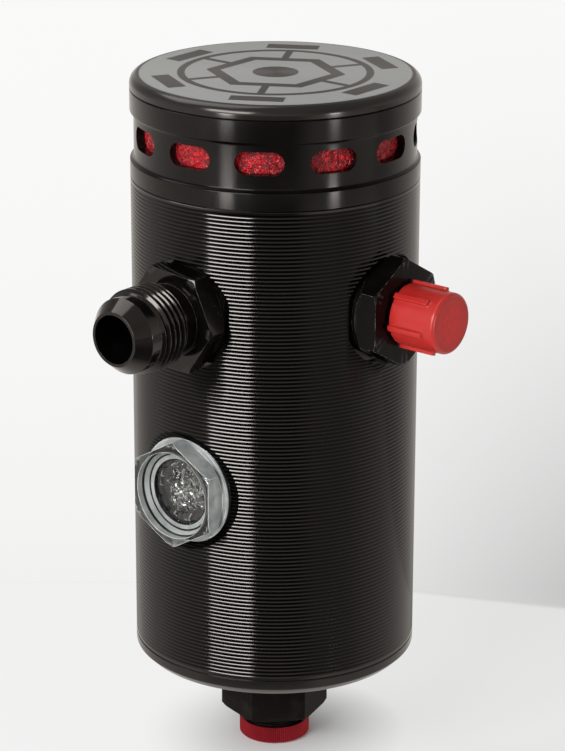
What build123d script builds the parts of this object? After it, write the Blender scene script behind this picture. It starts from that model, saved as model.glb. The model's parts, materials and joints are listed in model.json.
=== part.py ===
from build123d import *
from math import cos, pi, radians, sin, sqrt, tan
import os

# Oil catch can, in millimetres. The can's axis is Z and the origin is the middle of the
# drain cap's foot. The large port and the sight glass face -Y, the small port faces +X.

# Can body
can_diameter = 76.2
can_length = 129.0
can_wall = 8.0
ledge_width = 1.1
ledge_height = 26.0
edge_break = 0.3

# Base cap
base_flange_height = 4.4
base_edge_radius = 2.2
base_spigot_height = 12.0
base_floor_height = 8.6
base_floor_rim = 3.0

# Breather ring and its slots
ring_height = 23.5
ring_lower_flange = 4.8
ring_upper_flange = 5.9
band_depth = 1.0
band_wall = 2.2
ring_floor = 3.0
ring_spigot_height = 9.0
ring_spigot_wall = 4.5
vent_hole_diameter = 42.0
slot_count = 12
slot_length = 12.7
slot_height = 6.1
slot_centre = 12.2
slot_turn = 2.8

# Lid
lid_thickness = 3.6
lid_edge_radius = 2.5
lid_spigot_height = 4.5
lid_dish_depth = 1.5
lid_dish_rim = 6.0

# Foam ring in the breather
foam_inner_diameter = 44.0

# Baffle plate and wool pad
plate_thickness = 1.2
plate_hole_diameter = 7.0
plate_hole_count = 8
plate_hole_circle = 36.0
wool_headroom = 4.6

# O-ring port, the same in the can's side and in the base
port_thread_diameter = 22.22
port_shank_length = 12.7
port_neck_diameter = 20.2
port_neck_length = 2.9
port_lead = 1.0
port_o_section = 2.3
seat_depth = 2.7
large_port_drop = 29.8
small_port_drop = 29.8
glass_drop = 78.1

# Hexagons, cut from the same bar
hex_across_flats = 25.4
hex_back_diameter = 25.6
hex_front_diameter = 27.4
hex_height = 6.6
hex_back_angle = 45.0
hex_front_angle = 30.0
collar_diameter = 25.0
collar_height = 1.15
large_hex_turn = 55.0
small_hex_turn = 30.0
glass_hex_turn = 30.0
drain_hex_turn = 16.0

# Male flare ends: relief, thread, land, 37 degree cone and lip
flare_angle = 37.0
large_flare_bore = 12.8
large_flare_lip = 14.3
large_flare_thread = 22.22
large_flare_relief = 19.2
large_flare_land = 19.8
large_relief_length = 4.3
large_thread_length = 9.4
large_land_length = 3.4
small_flare_bore = 7.5
small_flare_lip = 8.8
small_flare_thread = 14.28
small_flare_relief = 12.2
small_flare_land = 12.0
small_relief_length = 2.4
small_thread_length = 7.0
small_land_length = 1.7

# Dust cap on the small port
dust_cap_length = 14.0
dust_cap_wall = 0.75
dust_cap_end = 1.2
dust_cap_edge_radius = 1.0
rib_count = 6
rib_width = 1.6
rib_height = 0.9
rib_length = 10.6
rib_turn = 12.0

# Sight glass
glass_flange_diameter = 28.7
glass_flange_height = 1.8
glass_head_height = 5.6
glass_shank_length = 9.0
glass_recess_diameter = 23.4
glass_recess_depth = 2.0
glass_cone_diameter = 21.0
glass_cone_depth = 1.6
glass_lens_diameter = 17.6
glass_lens_depth = 0.4
glass_window = 2.2
glass_bore = 17.0

# Drain adapter and its cap
drain_hex_height = 18.15
drain_neck_show = 3.6
drain_neck_diameter = 14.6
drain_thread_diameter = 16.0
drain_bore = 9.0
drain_cap_diameter = 19.4
drain_cap_height = 4.7
drain_cap_floor = 1.3
drain_cap_mouth = 18.0
drain_cap_mouth_depth = 0.9
drain_cap_edge = 0.4
gasket_thickness = 0.7
gasket_inner_diameter = 10.0

# O-rings of the can's threaded spigots
spigot_o_section = 1.8
spigot_groove_top = 1.2

# Fits
thread_gap = 0.15
soft_gap = 0.12
groove_side_gap = 0.15
loose_gap = 0.3
seat_rim_gap = 0.25

# Radii and heights that follow from the sizes above
can_radius = can_diameter / 2
can_bore = can_radius - can_wall
port_seat = can_radius - seat_depth
port_bore = port_thread_diameter / 2 + thread_gap
hex_corner = hex_across_flats / sqrt(3)
spigot_radius = can_bore - thread_gap
ring_bore = can_radius - band_depth - band_wall

base_bottom = drain_cap_height + drain_neck_show + drain_hex_height + collar_height
can_bottom = base_bottom + base_flange_height
can_top = can_bottom + can_length
ring_top = can_top + ring_height
lid_top = ring_top + lid_thickness
ledge_z = can_bottom + ledge_height
plate_top = ledge_z + plate_thickness
large_port_z = can_top - large_port_drop
small_port_z = can_top - small_port_drop
glass_z = can_top - glass_drop

# Ports are drawn from their seat outwards, along the local Z
large_port = Plane(origin=(0, -port_seat, large_port_z), x_dir=(1, 0, 0), z_dir=(0, -1, 0))
small_port = Plane(origin=(port_seat, 0, small_port_z), x_dir=(0, 1, 0), z_dir=(1, 0, 0))
glass_port = Plane(origin=(0, -port_seat, glass_z), x_dir=(1, 0, 0), z_dir=(0, -1, 0))
drain_port = Plane(origin=(0, 0, base_bottom), x_dir=(1, 0, 0), z_dir=(0, 0, -1))


def turned(*outline):
    """Solid turned about Z from (radius, height) corners."""
    return revolve(Plane.XZ * make_face(Polyline(*outline, close=True)), Axis.Z)


def hex_head(height, turn):
    """Hexagon with its corners turned off at both ends."""
    corners = [radians(turn + 60 * k) for k in range(6)]
    points = [(hex_corner * cos(a), hex_corner * sin(a)) for a in corners]
    bar = extrude(make_face(Polyline(*points, close=True)), height)
    back = hex_back_diameter / 2
    front = hex_front_diameter / 2
    limit = turned(
        (0, 0),
        (back, 0),
        (hex_corner, (hex_corner - back) * tan(radians(hex_back_angle))),
        (hex_corner, height - (hex_corner - front) * tan(radians(hex_front_angle))),
        (front, height),
        (0, height),
    )
    return bar & limit


def collared_hex(height, turn):
    """Hexagon on the round collar that meets the port's seat."""
    collar = Pos(0, 0, collar_height / 2) * Cylinder(collar_diameter / 2, collar_height)
    return collar + Pos(0, 0, collar_height) * hex_head(height, turn)


def port_shank(length):
    """Straight thread behind the seat, with the neck that carries the O-ring."""
    thread = port_thread_diameter / 2
    neck = port_neck_diameter / 2
    return turned(
        (0, -length),
        (thread - port_lead, -length),
        (thread, -length + port_lead),
        (thread, -port_neck_length),
        (neck, -port_neck_length),
        (neck, 0),
        (0, 0),
    )


def port_o_centre():
    return port_neck_diameter / 2 + soft_gap + port_o_section / 2


def port_o_ring():
    lift = -soft_gap - port_o_section / 2
    return Pos(0, 0, lift) * Torus(port_o_centre(), port_o_section / 2)


def port_hole(depth):
    """Threaded hole with the counterbore of its O-ring."""
    pocket = port_o_centre() + port_o_section / 2 + soft_gap
    pocket_depth = port_o_section + 2 * soft_gap
    return turned(
        (0, -depth),
        (port_bore, -depth),
        (port_bore, -pocket_depth),
        (pocket, -pocket_depth),
        (pocket, edge_break),
        (0, edge_break),
    )


def flare_end(start, thread, relief, land, lip, relief_length, thread_length, land_length):
    """Male flare end from the hexagon's face to its lip."""
    thread_start = start + relief_length
    thread_end = thread_start + thread_length
    lead = (thread - land) / 2
    cone_start = thread_end + land_length
    tip = cone_start + (land - lip) / 2 / tan(radians(flare_angle))
    solid = turned(
        (0, start),
        (relief / 2, start),
        (relief / 2, thread_start),
        (thread / 2, thread_start + (thread - relief) / 4),
        (thread / 2, thread_end - lead),
        (land / 2, thread_end),
        (land / 2, cone_start),
        (lip / 2, tip),
        (0, tip),
    )
    return solid, tip


def bored(solid, diameter, low, high):
    length = high - low
    return solid - Pos(0, 0, low + length / 2) * Cylinder(diameter / 2, length + 2 * edge_break)


def groove_root(bore):
    return bore - 2 * soft_gap - spigot_o_section


def spigot_o_ring(bore, seam, side):
    """O-ring in the groove of a spigot that enters a bore from its seam; side is +1 upwards."""
    height = seam + side * (spigot_groove_top + groove_side_gap + spigot_o_section / 2)
    return Pos(0, 0, height) * Torus(bore - soft_gap - spigot_o_section / 2, spigot_o_section / 2)


def spigot_groove(bore, seam, side):
    """Ring to cut out of a spigot for its O-ring."""
    width = spigot_o_section + 2 * groove_side_gap
    near = seam + side * spigot_groove_top
    far = near + side * width
    return turned((groove_root(bore), near), (bore, near), (bore, far), (groove_root(bore), far))


# Can body: a bored tube with a ledge for the baffle plate and a flat seat at each port
ledge_bore = can_bore - ledge_width
ledge_bottom = can_bottom + base_spigot_height + loose_gap
can_body = turned(
    (can_bore, can_bottom),
    (can_radius - edge_break, can_bottom),
    (can_radius, can_bottom + edge_break),
    (can_radius, can_top - edge_break),
    (can_radius - edge_break, can_top),
    (can_bore, can_top),
    (can_bore, ledge_z),
    (ledge_bore, ledge_z),
    (ledge_bore, ledge_bottom),
    (can_bore, ledge_bottom),
)
seat_radius = glass_flange_diameter / 2 + seat_rim_gap
seat_cut = Pos(0, 0, seat_depth) * Cylinder(seat_radius, 2 * seat_depth)
for port in (large_port, small_port, glass_port):
    can_body -= port * seat_cut
    can_body -= port * port_hole(can_wall + ledge_width)

# Base cap: flange, spigot and a floor that falls to the drain
spigot_top = can_bottom + base_spigot_height
floor_z = base_bottom + base_flange_height + base_floor_height
base_cap = turned(
    (0, base_bottom),
    (can_radius, base_bottom),
    (can_radius, can_bottom - edge_break),
    (can_radius - edge_break, can_bottom),
    (spigot_radius, can_bottom),
    (spigot_radius, spigot_top - edge_break),
    (spigot_radius - edge_break, spigot_top),
    (spigot_radius - base_floor_rim, spigot_top),
    (port_bore, floor_z),
    (0, floor_z),
)
base_cap = fillet(base_cap.edges().group_by(Axis.Z)[0], base_edge_radius)
base_cap -= drain_port * port_hole(base_flange_height + base_spigot_height)
base_cap -= spigot_groove(can_bore, can_bottom, 1)
base_o_ring = spigot_o_ring(can_bore, can_bottom, 1)

# Large port: straight thread to male flare, open
fitting_face = collar_height + hex_height
large_end, large_tip = flare_end(
    fitting_face,
    large_flare_thread,
    large_flare_relief,
    large_flare_land,
    large_flare_lip,
    large_relief_length,
    large_thread_length,
    large_land_length,
)
large_solid = port_shank(port_shank_length) + collared_hex(hex_height, large_hex_turn) + large_end
large_port_fitting = bored(large_solid, large_flare_bore, -port_shank_length, large_tip)

# Small port: the same hexagon and thread, smaller flare
small_end, small_tip = flare_end(
    fitting_face,
    small_flare_thread,
    small_flare_relief,
    small_flare_land,
    small_flare_lip,
    small_relief_length,
    small_thread_length,
    small_land_length,
)
small_solid = port_shank(port_shank_length) + collared_hex(hex_height, small_hex_turn) + small_end
small_port_fitting = bored(small_solid, small_flare_bore, -port_shank_length, small_tip)

# Dust cap: a thin ribbed cup over the small flare
cup_bore = small_flare_thread / 2 + thread_gap
cup_radius = cup_bore + dust_cap_wall
cup_end = small_tip + loose_gap + dust_cap_end
cup_start = cup_end - dust_cap_length
cup = Pos(0, 0, (cup_start + cup_end) / 2) * Cylinder(cup_radius, dust_cap_length)
cup = fillet(cup.edges().group_by(Axis.Z)[-1], dust_cap_edge_radius)
for k in range(rib_count):
    reach = cup_radius + rib_height
    rib = Pos(reach / 2, 0, cup_start + rib_length / 2) * Box(reach, rib_width, rib_length)
    cup += Rot(0, 0, rib_turn + 360 / rib_count * k) * rib
cup_hollow = cup_end - dust_cap_end - cup_start + edge_break
hollow = Pos(0, 0, cup_end - dust_cap_end - cup_hollow / 2) * Cylinder(cup_bore, cup_hollow)
small_port_dust_cap = cup - hollow

# Sight glass: clear one-piece plug with a coned recess, a sunk window and a hollow shank
glass_face = glass_flange_height + glass_head_height
glass_cone_top = glass_face - glass_recess_depth
glass_ledge = glass_cone_top - glass_cone_depth
glass_floor = glass_ledge - glass_lens_depth
flange = Pos(0, 0, glass_flange_height / 2) * Cylinder(glass_flange_diameter / 2, glass_flange_height)
flange = chamfer(flange.edges().group_by(Axis.Z)[-1], edge_break)
glass = port_shank(glass_shank_length) + flange
glass += Pos(0, 0, glass_flange_height) * hex_head(glass_head_height, glass_hex_turn)
glass -= turned(
    (0, glass_floor),
    (glass_lens_diameter / 2, glass_floor),
    (glass_lens_diameter / 2, glass_ledge),
    (glass_cone_diameter / 2, glass_ledge),
    (glass_recess_diameter / 2, glass_cone_top),
    (glass_recess_diameter / 2, glass_face + edge_break),
    (0, glass_face + edge_break),
)
window_back = glass_floor - glass_window
back_length = window_back + glass_shank_length + edge_break
glass -= Pos(0, 0, window_back - back_length / 2) * Cylinder(glass_bore / 2, back_length)
sight_glass = glass

# Drain adapter: straight thread, tall hexagon, short neck and thread for the cap
drain_hex_end = collar_height + drain_hex_height
neck_end = drain_hex_end + drain_neck_show
drain_end = base_bottom - drain_cap_floor - gasket_thickness - soft_gap
drain_solid = port_shank(port_shank_length) + collared_hex(drain_hex_height, drain_hex_turn)
drain_solid += turned(
    (0, drain_hex_end),
    (drain_neck_diameter / 2, drain_hex_end),
    (drain_neck_diameter / 2, neck_end - edge_break),
    (drain_thread_diameter / 2, neck_end),
    (drain_thread_diameter / 2, drain_end - edge_break),
    (drain_thread_diameter / 2 - edge_break, drain_end),
    (0, drain_end),
)
drain_adapter = bored(drain_solid, drain_bore, -port_shank_length, drain_end)

# Drain cap: a shallow cup on the adapter's thread, with a flared mouth and a flat gasket
cap_bore = drain_thread_diameter / 2 + thread_gap
cap_radius = drain_cap_diameter / 2
drain_cap = turned(
    (0, 0),
    (cap_radius - drain_cap_edge, 0),
    (cap_radius, drain_cap_edge),
    (cap_radius, drain_cap_height),
    (drain_cap_mouth / 2, drain_cap_height),
    (cap_bore, drain_cap_height - drain_cap_mouth_depth),
    (cap_bore, drain_cap_floor),
    (0, drain_cap_floor),
)
gasket_radius = cap_bore - soft_gap
gasket_z = drain_cap_floor + gasket_thickness / 2
gasket = Pos(0, 0, gasket_z) * Cylinder(gasket_radius, gasket_thickness)
drain_cap_gasket = gasket - Pos(0, 0, gasket_z) * Cylinder(gasket_inner_diameter / 2, 2 * gasket_thickness)

# Breather ring: two flanges, a coved band with the slots, a floor and a spigot
band_radius = can_radius - band_depth
band_low = can_top + ring_lower_flange
band_high = ring_top - ring_upper_flange
floor_top = can_top + ring_floor
spigot_bottom = can_top - ring_spigot_height
ring_outline = [
    Polyline(
        (band_radius, band_high - band_depth),
        (band_radius, band_low + band_depth),
    ),
    RadiusArc((band_radius, band_low + band_depth), (can_radius, band_low), -band_depth),
    Polyline(
        (can_radius, band_low),
        (can_radius, can_top + edge_break),
        (can_radius - edge_break, can_top),
        (spigot_radius, can_top),
        (spigot_radius, spigot_bottom + edge_break),
        (spigot_radius - edge_break, spigot_bottom),
        (spigot_radius - ring_spigot_wall, spigot_bottom),
        (spigot_radius - ring_spigot_wall, can_top),
        (vent_hole_diameter / 2, can_top),
        (vent_hole_diameter / 2, floor_top),
        (ring_bore, floor_top),
        (ring_bore, ring_top),
        (can_radius - edge_break, ring_top),
        (can_radius, ring_top - edge_break),
        (can_radius, band_high),
    ),
    RadiusArc((can_radius, band_high), (band_radius, band_high - band_depth), -band_depth),
]
breather_ring = revolve(Plane.XZ * make_face(ring_outline), Axis.Z)
breather_ring -= spigot_groove(can_bore, can_top, -1)
slot_cut = extrude(SlotOverall(slot_length, slot_height), can_radius - ring_bore + 2 * loose_gap)
for k in range(slot_count):
    angle = radians(slot_turn + 360 / slot_count * k - 90)
    outward = (cos(angle), sin(angle), 0)
    start = (ring_bore - loose_gap) * cos(pi / slot_count)
    origin = (start * cos(angle), start * sin(angle), can_top + slot_centre)
    breather_ring -= Plane(origin=origin, x_dir=(-sin(angle), cos(angle), 0), z_dir=outward) * slot_cut
breather_o_ring = spigot_o_ring(can_bore, can_top, -1)

# Lid: bullnosed disc with a dished spigot
lid_spigot = ring_bore - thread_gap
lid_bottom = ring_top - lid_spigot_height
breather_lid = turned(
    (0, lid_top),
    (can_radius, lid_top),
    (can_radius, ring_top + edge_break),
    (can_radius - edge_break, ring_top),
    (lid_spigot, ring_top),
    (lid_spigot, lid_bottom + edge_break),
    (lid_spigot - edge_break, lid_bottom),
    (lid_spigot - lid_dish_rim, lid_bottom),
    (lid_spigot - lid_dish_rim, lid_bottom + lid_dish_depth),
    (0, lid_bottom + lid_dish_depth),
)
breather_lid = fillet(breather_lid.edges().group_by(Axis.Z)[-1], lid_edge_radius)
breather_lid -= spigot_groove(ring_bore, ring_top, -1)
lid_o_ring = spigot_o_ring(ring_bore, ring_top, -1)

# Foam ring between the ring's floor and the lid
foam_low = floor_top + soft_gap
foam_high = lid_bottom - soft_gap
foam_filter = turned(
    (foam_inner_diameter / 2, foam_low),
    (ring_bore - soft_gap, foam_low),
    (ring_bore - soft_gap, foam_high),
    (foam_inner_diameter / 2, foam_high),
)

# Baffle plate on the can's ledge, with a ring of drain holes
plate_z = ledge_z + plate_thickness / 2
baffle_plate = Pos(0, 0, plate_z) * Cylinder(can_bore - thread_gap, plate_thickness)
for k in range(plate_hole_count):
    hole = Pos(plate_hole_circle / 2, 0, plate_z) * Cylinder(plate_hole_diameter / 2, 2 * plate_thickness)
    baffle_plate -= Rot(0, 0, 360 / plate_hole_count * k) * hole

# Wool pad on the plate, below the port shanks and cut clear of the sight glass shank
wool_low = plate_top + soft_gap
wool_high = min(large_port_z, small_port_z) - port_thread_diameter / 2 - wool_headroom
wool_pad = Pos(0, 0, (wool_low + wool_high) / 2) * Cylinder(can_bore - loose_gap, wool_high - wool_low)
wool_notch = Cylinder(port_bore + loose_gap, 2 * (glass_shank_length + loose_gap))
wool_pad -= glass_port * wool_notch

parts = {
    "can_body": can_body,
    "base_cap": base_cap,
    "base_o_ring": base_o_ring,
    "large_port_fitting": large_port * large_port_fitting,
    "large_port_o_ring": large_port * port_o_ring(),
    "small_port_fitting": small_port * small_port_fitting,
    "small_port_o_ring": small_port * port_o_ring(),
    "small_port_dust_cap": small_port * small_port_dust_cap,
    "sight_glass": glass_port * sight_glass,
    "sight_glass_o_ring": glass_port * port_o_ring(),
    "drain_adapter": drain_port * drain_adapter,
    "drain_o_ring": drain_port * port_o_ring(),
    "drain_cap": drain_cap,
    "drain_cap_gasket": drain_cap_gasket,
    "breather_ring": breather_ring,
    "breather_o_ring": breather_o_ring,
    "breather_lid": breather_lid,
    "lid_o_ring": lid_o_ring,
    "foam_filter": foam_filter,
    "baffle_plate": baffle_plate,
    "wool_pad": wool_pad,
}

os.makedirs("parts", exist_ok=True)
for name, shape in parts.items():
    export_step(shape, f"parts/{name}.step")
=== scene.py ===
import bmesh
import bpy
import itertools
import json
import math
import numpy as np
from mathutils import Matrix, Vector

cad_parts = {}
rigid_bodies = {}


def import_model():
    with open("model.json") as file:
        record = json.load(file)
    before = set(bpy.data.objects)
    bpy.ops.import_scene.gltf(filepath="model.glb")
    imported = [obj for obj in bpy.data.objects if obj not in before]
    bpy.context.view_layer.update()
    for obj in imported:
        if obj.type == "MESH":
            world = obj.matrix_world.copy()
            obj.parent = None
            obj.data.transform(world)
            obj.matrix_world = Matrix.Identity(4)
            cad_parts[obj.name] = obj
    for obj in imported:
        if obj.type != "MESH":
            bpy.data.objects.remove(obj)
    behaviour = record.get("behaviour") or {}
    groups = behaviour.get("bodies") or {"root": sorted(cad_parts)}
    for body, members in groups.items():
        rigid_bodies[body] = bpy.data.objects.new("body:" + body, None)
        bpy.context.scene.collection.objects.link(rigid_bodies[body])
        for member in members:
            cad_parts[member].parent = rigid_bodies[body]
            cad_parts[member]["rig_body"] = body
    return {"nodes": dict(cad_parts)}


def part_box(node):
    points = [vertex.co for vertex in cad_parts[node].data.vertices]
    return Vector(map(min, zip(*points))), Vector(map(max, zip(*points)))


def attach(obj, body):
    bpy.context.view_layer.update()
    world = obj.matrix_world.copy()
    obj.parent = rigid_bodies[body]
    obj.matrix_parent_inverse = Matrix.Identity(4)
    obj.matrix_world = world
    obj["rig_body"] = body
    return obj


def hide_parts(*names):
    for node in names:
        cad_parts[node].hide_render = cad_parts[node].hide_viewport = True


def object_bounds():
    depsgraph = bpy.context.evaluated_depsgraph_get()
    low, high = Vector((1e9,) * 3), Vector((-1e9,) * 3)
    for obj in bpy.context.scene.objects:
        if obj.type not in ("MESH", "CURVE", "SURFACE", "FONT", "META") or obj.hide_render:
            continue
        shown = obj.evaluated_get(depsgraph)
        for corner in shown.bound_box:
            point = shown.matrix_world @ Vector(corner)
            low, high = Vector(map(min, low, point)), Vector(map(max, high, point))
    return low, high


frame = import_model()
cadLow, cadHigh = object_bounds()
mm = 0.001
fullTurn = 2 * math.pi
upAxis, origin = (0.0, 0.0, 1.0), (0.0, 0.0, 0.0)
print("frame loaded:", len(frame["nodes"]), "nodes")

# camera, as it stood for the photograph: straight out from the can's axis, above the foot
view = {
    "azimuth": 39.15,  # degrees round from the large port
    "distance": 761.4,  # mm from the can's axis
    "height": 368.9,  # mm above the foot
    "pitch": 19.14,  # degrees down
    "yaw": 0.151,
    "roll": 0.16,
    "lens": 143.8,
    "sensor": 36.0,
    "clip": (0.05, 60.0),  # m
}


def linked(name, data):
    thing = bpy.data.objects.new(name, data)
    bpy.context.scene.collection.objects.link(thing)
    return thing


def turned(degrees, axis):
    return Matrix.Rotation(math.radians(degrees), 4, axis)


def outward(azimuth, elevation=0.0):
    # unit length, away from the can's axis
    a, e = math.radians(azimuth), math.radians(elevation)
    return (math.sin(a) * math.cos(e), -math.cos(a) * math.cos(e), math.sin(e))


def placeCamera():
    data = bpy.data.cameras.new("photoCamera")
    data.lens = view["lens"]
    data.sensor_width = view["sensor"]
    data.clip_start, data.clip_end = view["clip"]
    camera = linked("photoCamera", data)
    out = view["distance"] * mm
    x, y, level = [out * part for part in outward(view["azimuth"])]
    aim = turned(view["azimuth"] - view["yaw"], "Z") @ turned(90 - view["pitch"], "X")
    spot = Matrix.Translation((x, y, level + view["height"] * mm))
    camera.matrix_world = spot @ aim @ turned(view["roll"], "Z")
    bpy.context.scene.camera = camera


placeCamera()
print("camera placed")


# small tools for meshes
meshLook = {
    "weld": 0.0005,  # mm, closer points of a solid become one
    "sliver": 0.0002,
    "coilSteps": 96,  # a turn
    "past": 1.0,  # mm that an envelope reaches past its solid
    "nearlyNone": 1e-6,
}


def newPiece(name, points, faces):
    mesh = bpy.data.meshes.new(name)
    mesh.from_pydata([tuple(p) for p in points], [], faces)
    shape = bmesh.new()
    shape.from_mesh(mesh)
    bmesh.ops.recalc_face_normals(shape, faces=shape.faces)
    shape.to_mesh(mesh)
    shape.free()
    return linked(name, mesh)


def polar(radius, angle, height):
    # mm in, m out
    return (radius * math.cos(angle) * mm, radius * math.sin(angle) * mm, height * mm)


def turnedPiece(name, outline, segments):
    # outline: closed loop of (radius, height) in mm, turned about Z
    points, rings, faces = [], [], []
    for radius, height in outline:
        count = segments if radius > 0 else 1
        rings.append(range(len(points), len(points) + count))
        points += [polar(radius, fullTurn * k / segments, height) for k in range(count)]
    for ring, after in zip(rings, rings[1:] + rings[:1]):
        if len(ring) == 1 and len(after) == 1:
            continue
        for k in range(segments):
            near = (ring[k % len(ring)], ring[(k + 1) % len(ring)])
            far = (after[(k + 1) % len(after)], after[k % len(after)])
            faces.append(list(dict.fromkeys(near + far)))
    return newPiece(name, points, faces)


def arcPoints(centre, radius, start, end, steps):
    angles = [math.radians(start + (end - start) * k / steps) for k in range(steps + 1)]
    return [(centre[0] + radius * math.cos(a), centre[1] + radius * math.sin(a)) for a in angles]


def coilPiece(name, section, pitch, turns, start):
    # section: closed loop of (radius, height) in mm, swept up a right-hand helix about Z
    steps, width = meshLook["coilSteps"], len(section)
    count = int(turns * steps)
    points, faces = [], []
    for k in range(count + 1):
        rise = start + pitch * k / steps
        points += [polar(radius, fullTurn * k / steps, rise + height) for radius, height in section]
    for k in range(count):
        for i in range(width):
            j = (i + 1) % width
            faces.append((k * width + i, k * width + j, (k + 1) * width + j, (k + 1) * width + i))
    faces.append(tuple(range(width)))
    faces.append(tuple(count * width + i for i in range(width)))
    return newPiece(name, points, faces)


def cadCopy(node, name):
    mesh = frame["nodes"][node].data.copy()
    mesh.name = name
    if "custom_normal" in mesh.attributes:
        mesh.attributes.remove(mesh.attributes["custom_normal"])
    shape = bmesh.new()
    shape.from_mesh(mesh)
    bmesh.ops.remove_doubles(shape, verts=shape.verts, dist=meshLook["weld"] * mm)
    bmesh.ops.dissolve_degenerate(shape, edges=shape.edges, dist=meshLook["sliver"] * mm)
    shape.to_mesh(mesh)
    shape.free()
    mesh.materials.clear()
    return linked(name, mesh)


def applied(piece):
    graph = bpy.context.evaluated_depsgraph_get()
    mesh = bpy.data.meshes.new_from_object(piece.evaluated_get(graph))
    piece.modifiers.clear()
    piece.data = mesh
    return piece


def combined(piece, tool, operation):
    step = piece.modifiers.new("combine", "BOOLEAN")
    step.operation = operation
    step.solver = "MANIFOLD"
    step.object = tool
    applied(piece)
    bpy.data.objects.remove(tool)
    return piece


def turnedSkin(node, name, outline, segments):
    # the node's solid, trimmed to a turned envelope
    return combined(cadCopy(node, name), turnedPiece(name + "Envelope", outline, segments), "INTERSECT")


def threadCut(piece, thread, start, place):
    # groove between the turns: wide at the crest, narrow at the root
    half = thread["pitch"] / 2
    mouth, root = half * thread["mouth"], half * thread["root"]
    rim, floor = thread["crest"] + thread["past"], thread["crest"] - thread["depth"]
    section = [(rim, -mouth), (rim, mouth), (floor, root), (floor, -root)]
    tool = coilPiece("threadGroove", section, thread["pitch"], thread["turns"], start)
    tool.data.transform(place)
    return combined(piece, tool, "DIFFERENCE")


def dressed(piece, node, material, angle):
    for face in piece.data.polygons:
        face.use_smooth = True
    piece.data.set_sharp_from_angle(angle=math.radians(angle))
    piece.data.materials.clear()
    piece.data.materials.append(material)
    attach(piece, frame["nodes"][node]["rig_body"])
    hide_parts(node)
    print("dressed", node, "with", len(piece.data.polygons), "faces")
    return piece


def centreOf(node):
    low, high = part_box(node)
    return (low + high) / 2


def spanOf(node):
    # outer radius, bottom and top of a node about the can's axis, in mm
    low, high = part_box(node)
    return high.x / mm, low.z / mm, high.z / mm


# small tools for materials
nodeLook = {
    "bevelSamples": 6,
    "edgeSpan": (0.9, 0.985),  # agreement of the two normals, at an edge and on a face
    "lineDetail": 1.0,
}


def addNode(tree, kind, inputs=None, **settings):
    node = tree.nodes.new(kind)
    for key, value in settings.items():
        setattr(node, key, value)
    for key, value in (inputs or {}).items():
        if isinstance(value, bpy.types.NodeSocket):
            tree.links.new(value, node.inputs[key])
        else:
            node.inputs[key].default_value = value
    return node


def calc(tree, operation, first, second=0.0, third=0.0):
    node = addNode(tree, "ShaderNodeMath", {0: first, 1: second, 2: third}, operation=operation)
    return node.outputs[0]


def product(tree, first, *others):
    for other in others:
        first = calc(tree, "MULTIPLY", first, other)
    return first


def vectorCalc(tree, operation, first, second=origin):
    node = addNode(tree, "ShaderNodeVectorMath", {0: first, 1: second}, operation=operation)
    return node.outputs["Value" if operation in ("DOT_PRODUCT", "LENGTH", "DISTANCE") else 0]


def scaled(tree, vector, amount):
    return addNode(tree, "ShaderNodeVectorMath", {0: vector, "Scale": amount}, operation="SCALE").outputs[0]


def partsOf(tree, vector):
    return addNode(tree, "ShaderNodeSeparateXYZ", {0: vector}).outputs


def paired(tree, first, second):
    return addNode(tree, "ShaderNodeCombineXYZ", {0: first, 1: second}).outputs[0]


def newFinish(name, sockets):
    material = bpy.data.materials.new(name)
    material.use_nodes = True
    shader = material.node_tree.nodes["Principled BSDF"]
    for key, value in sockets.items():
        shader.inputs[key].default_value = value
    return material, material.node_tree, shader


def feed(tree, shader, sources):
    for key, source in sources.items():
        tree.links.new(source, shader.inputs[key])


def rowPlace(tree):
    return addNode(tree, "ShaderNodeTexCoord").outputs["Object"]


def noiseOf(tree, place, scale, detail=3.0, roughness=0.5):
    inputs = {"Vector": place, "Scale": scale, "Detail": detail, "Roughness": roughness}
    return addNode(tree, "ShaderNodeTexNoise", inputs).outputs["Fac"]


def spread(tree, value, low, high, fromLow=0.0, fromHigh=1.0):
    inputs = {"Value": value, "From Min": fromLow, "From Max": fromHigh, "To Min": low, "To Max": high}
    return addNode(tree, "ShaderNodeMapRange", inputs).outputs[0]


def between(tree, value, low, high):
    # 1 where a length in m lies between two limits in mm
    over = calc(tree, "GREATER_THAN", value, low * mm)
    return product(tree, over, calc(tree, "LESS_THAN", value, high * mm))


def colourMix(tree, amount, first, second):
    return addNode(tree, "ShaderNodeMix", {0: amount, 6: first, 7: second}, data_type="RGBA").outputs[2]


def numberMix(tree, amount, first, second):
    return addNode(tree, "ShaderNodeMix", {0: amount, 2: first, 3: second}).outputs[0]


def bumpOf(tree, height, strength, distance, below=None):
    inputs = {"Height": height, "Strength": strength, "Distance": distance * mm}
    if below is not None:
        inputs["Normal"] = below
    return addNode(tree, "ShaderNodeBump", inputs).outputs[0]


def roundedNormal(tree, radius):
    samples = nodeLook["bevelSamples"]
    return addNode(tree, "ShaderNodeBevel", {"Radius": radius * mm}, samples=samples).outputs[0]


def facetNormal(tree):
    return addNode(tree, "ShaderNodeNewGeometry").outputs["True Normal"]


def edgeShare(tree, rounded):
    # 1 along sharp edges, 0 on the faces between them
    agree = vectorCalc(tree, "DOT_PRODUCT", rounded, facetNormal(tree))
    return spread(tree, agree, 1.0, 0.0, *nodeLook["edgeSpan"])


def toolLines(tree, place, axis, centre, linesPerMm):
    # value that changes across a lathe tool's path, by radius plus distance along the axis; and the radius
    moved = vectorCalc(tree, "SUBTRACT", place, centre)
    along = vectorCalc(tree, "DOT_PRODUCT", moved, axis)
    across = vectorCalc(tree, "SUBTRACT", moved, scaled(tree, axis, along))
    radius = vectorCalc(tree, "LENGTH", across)
    path = {"W": calc(tree, "ADD", radius, along), "Scale": linesPerMm / mm, "Detail": nodeLook["lineDetail"]}
    return addNode(tree, "ShaderNodeTexNoise", path, noise_dimensions="1D").outputs["Fac"], radius


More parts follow.
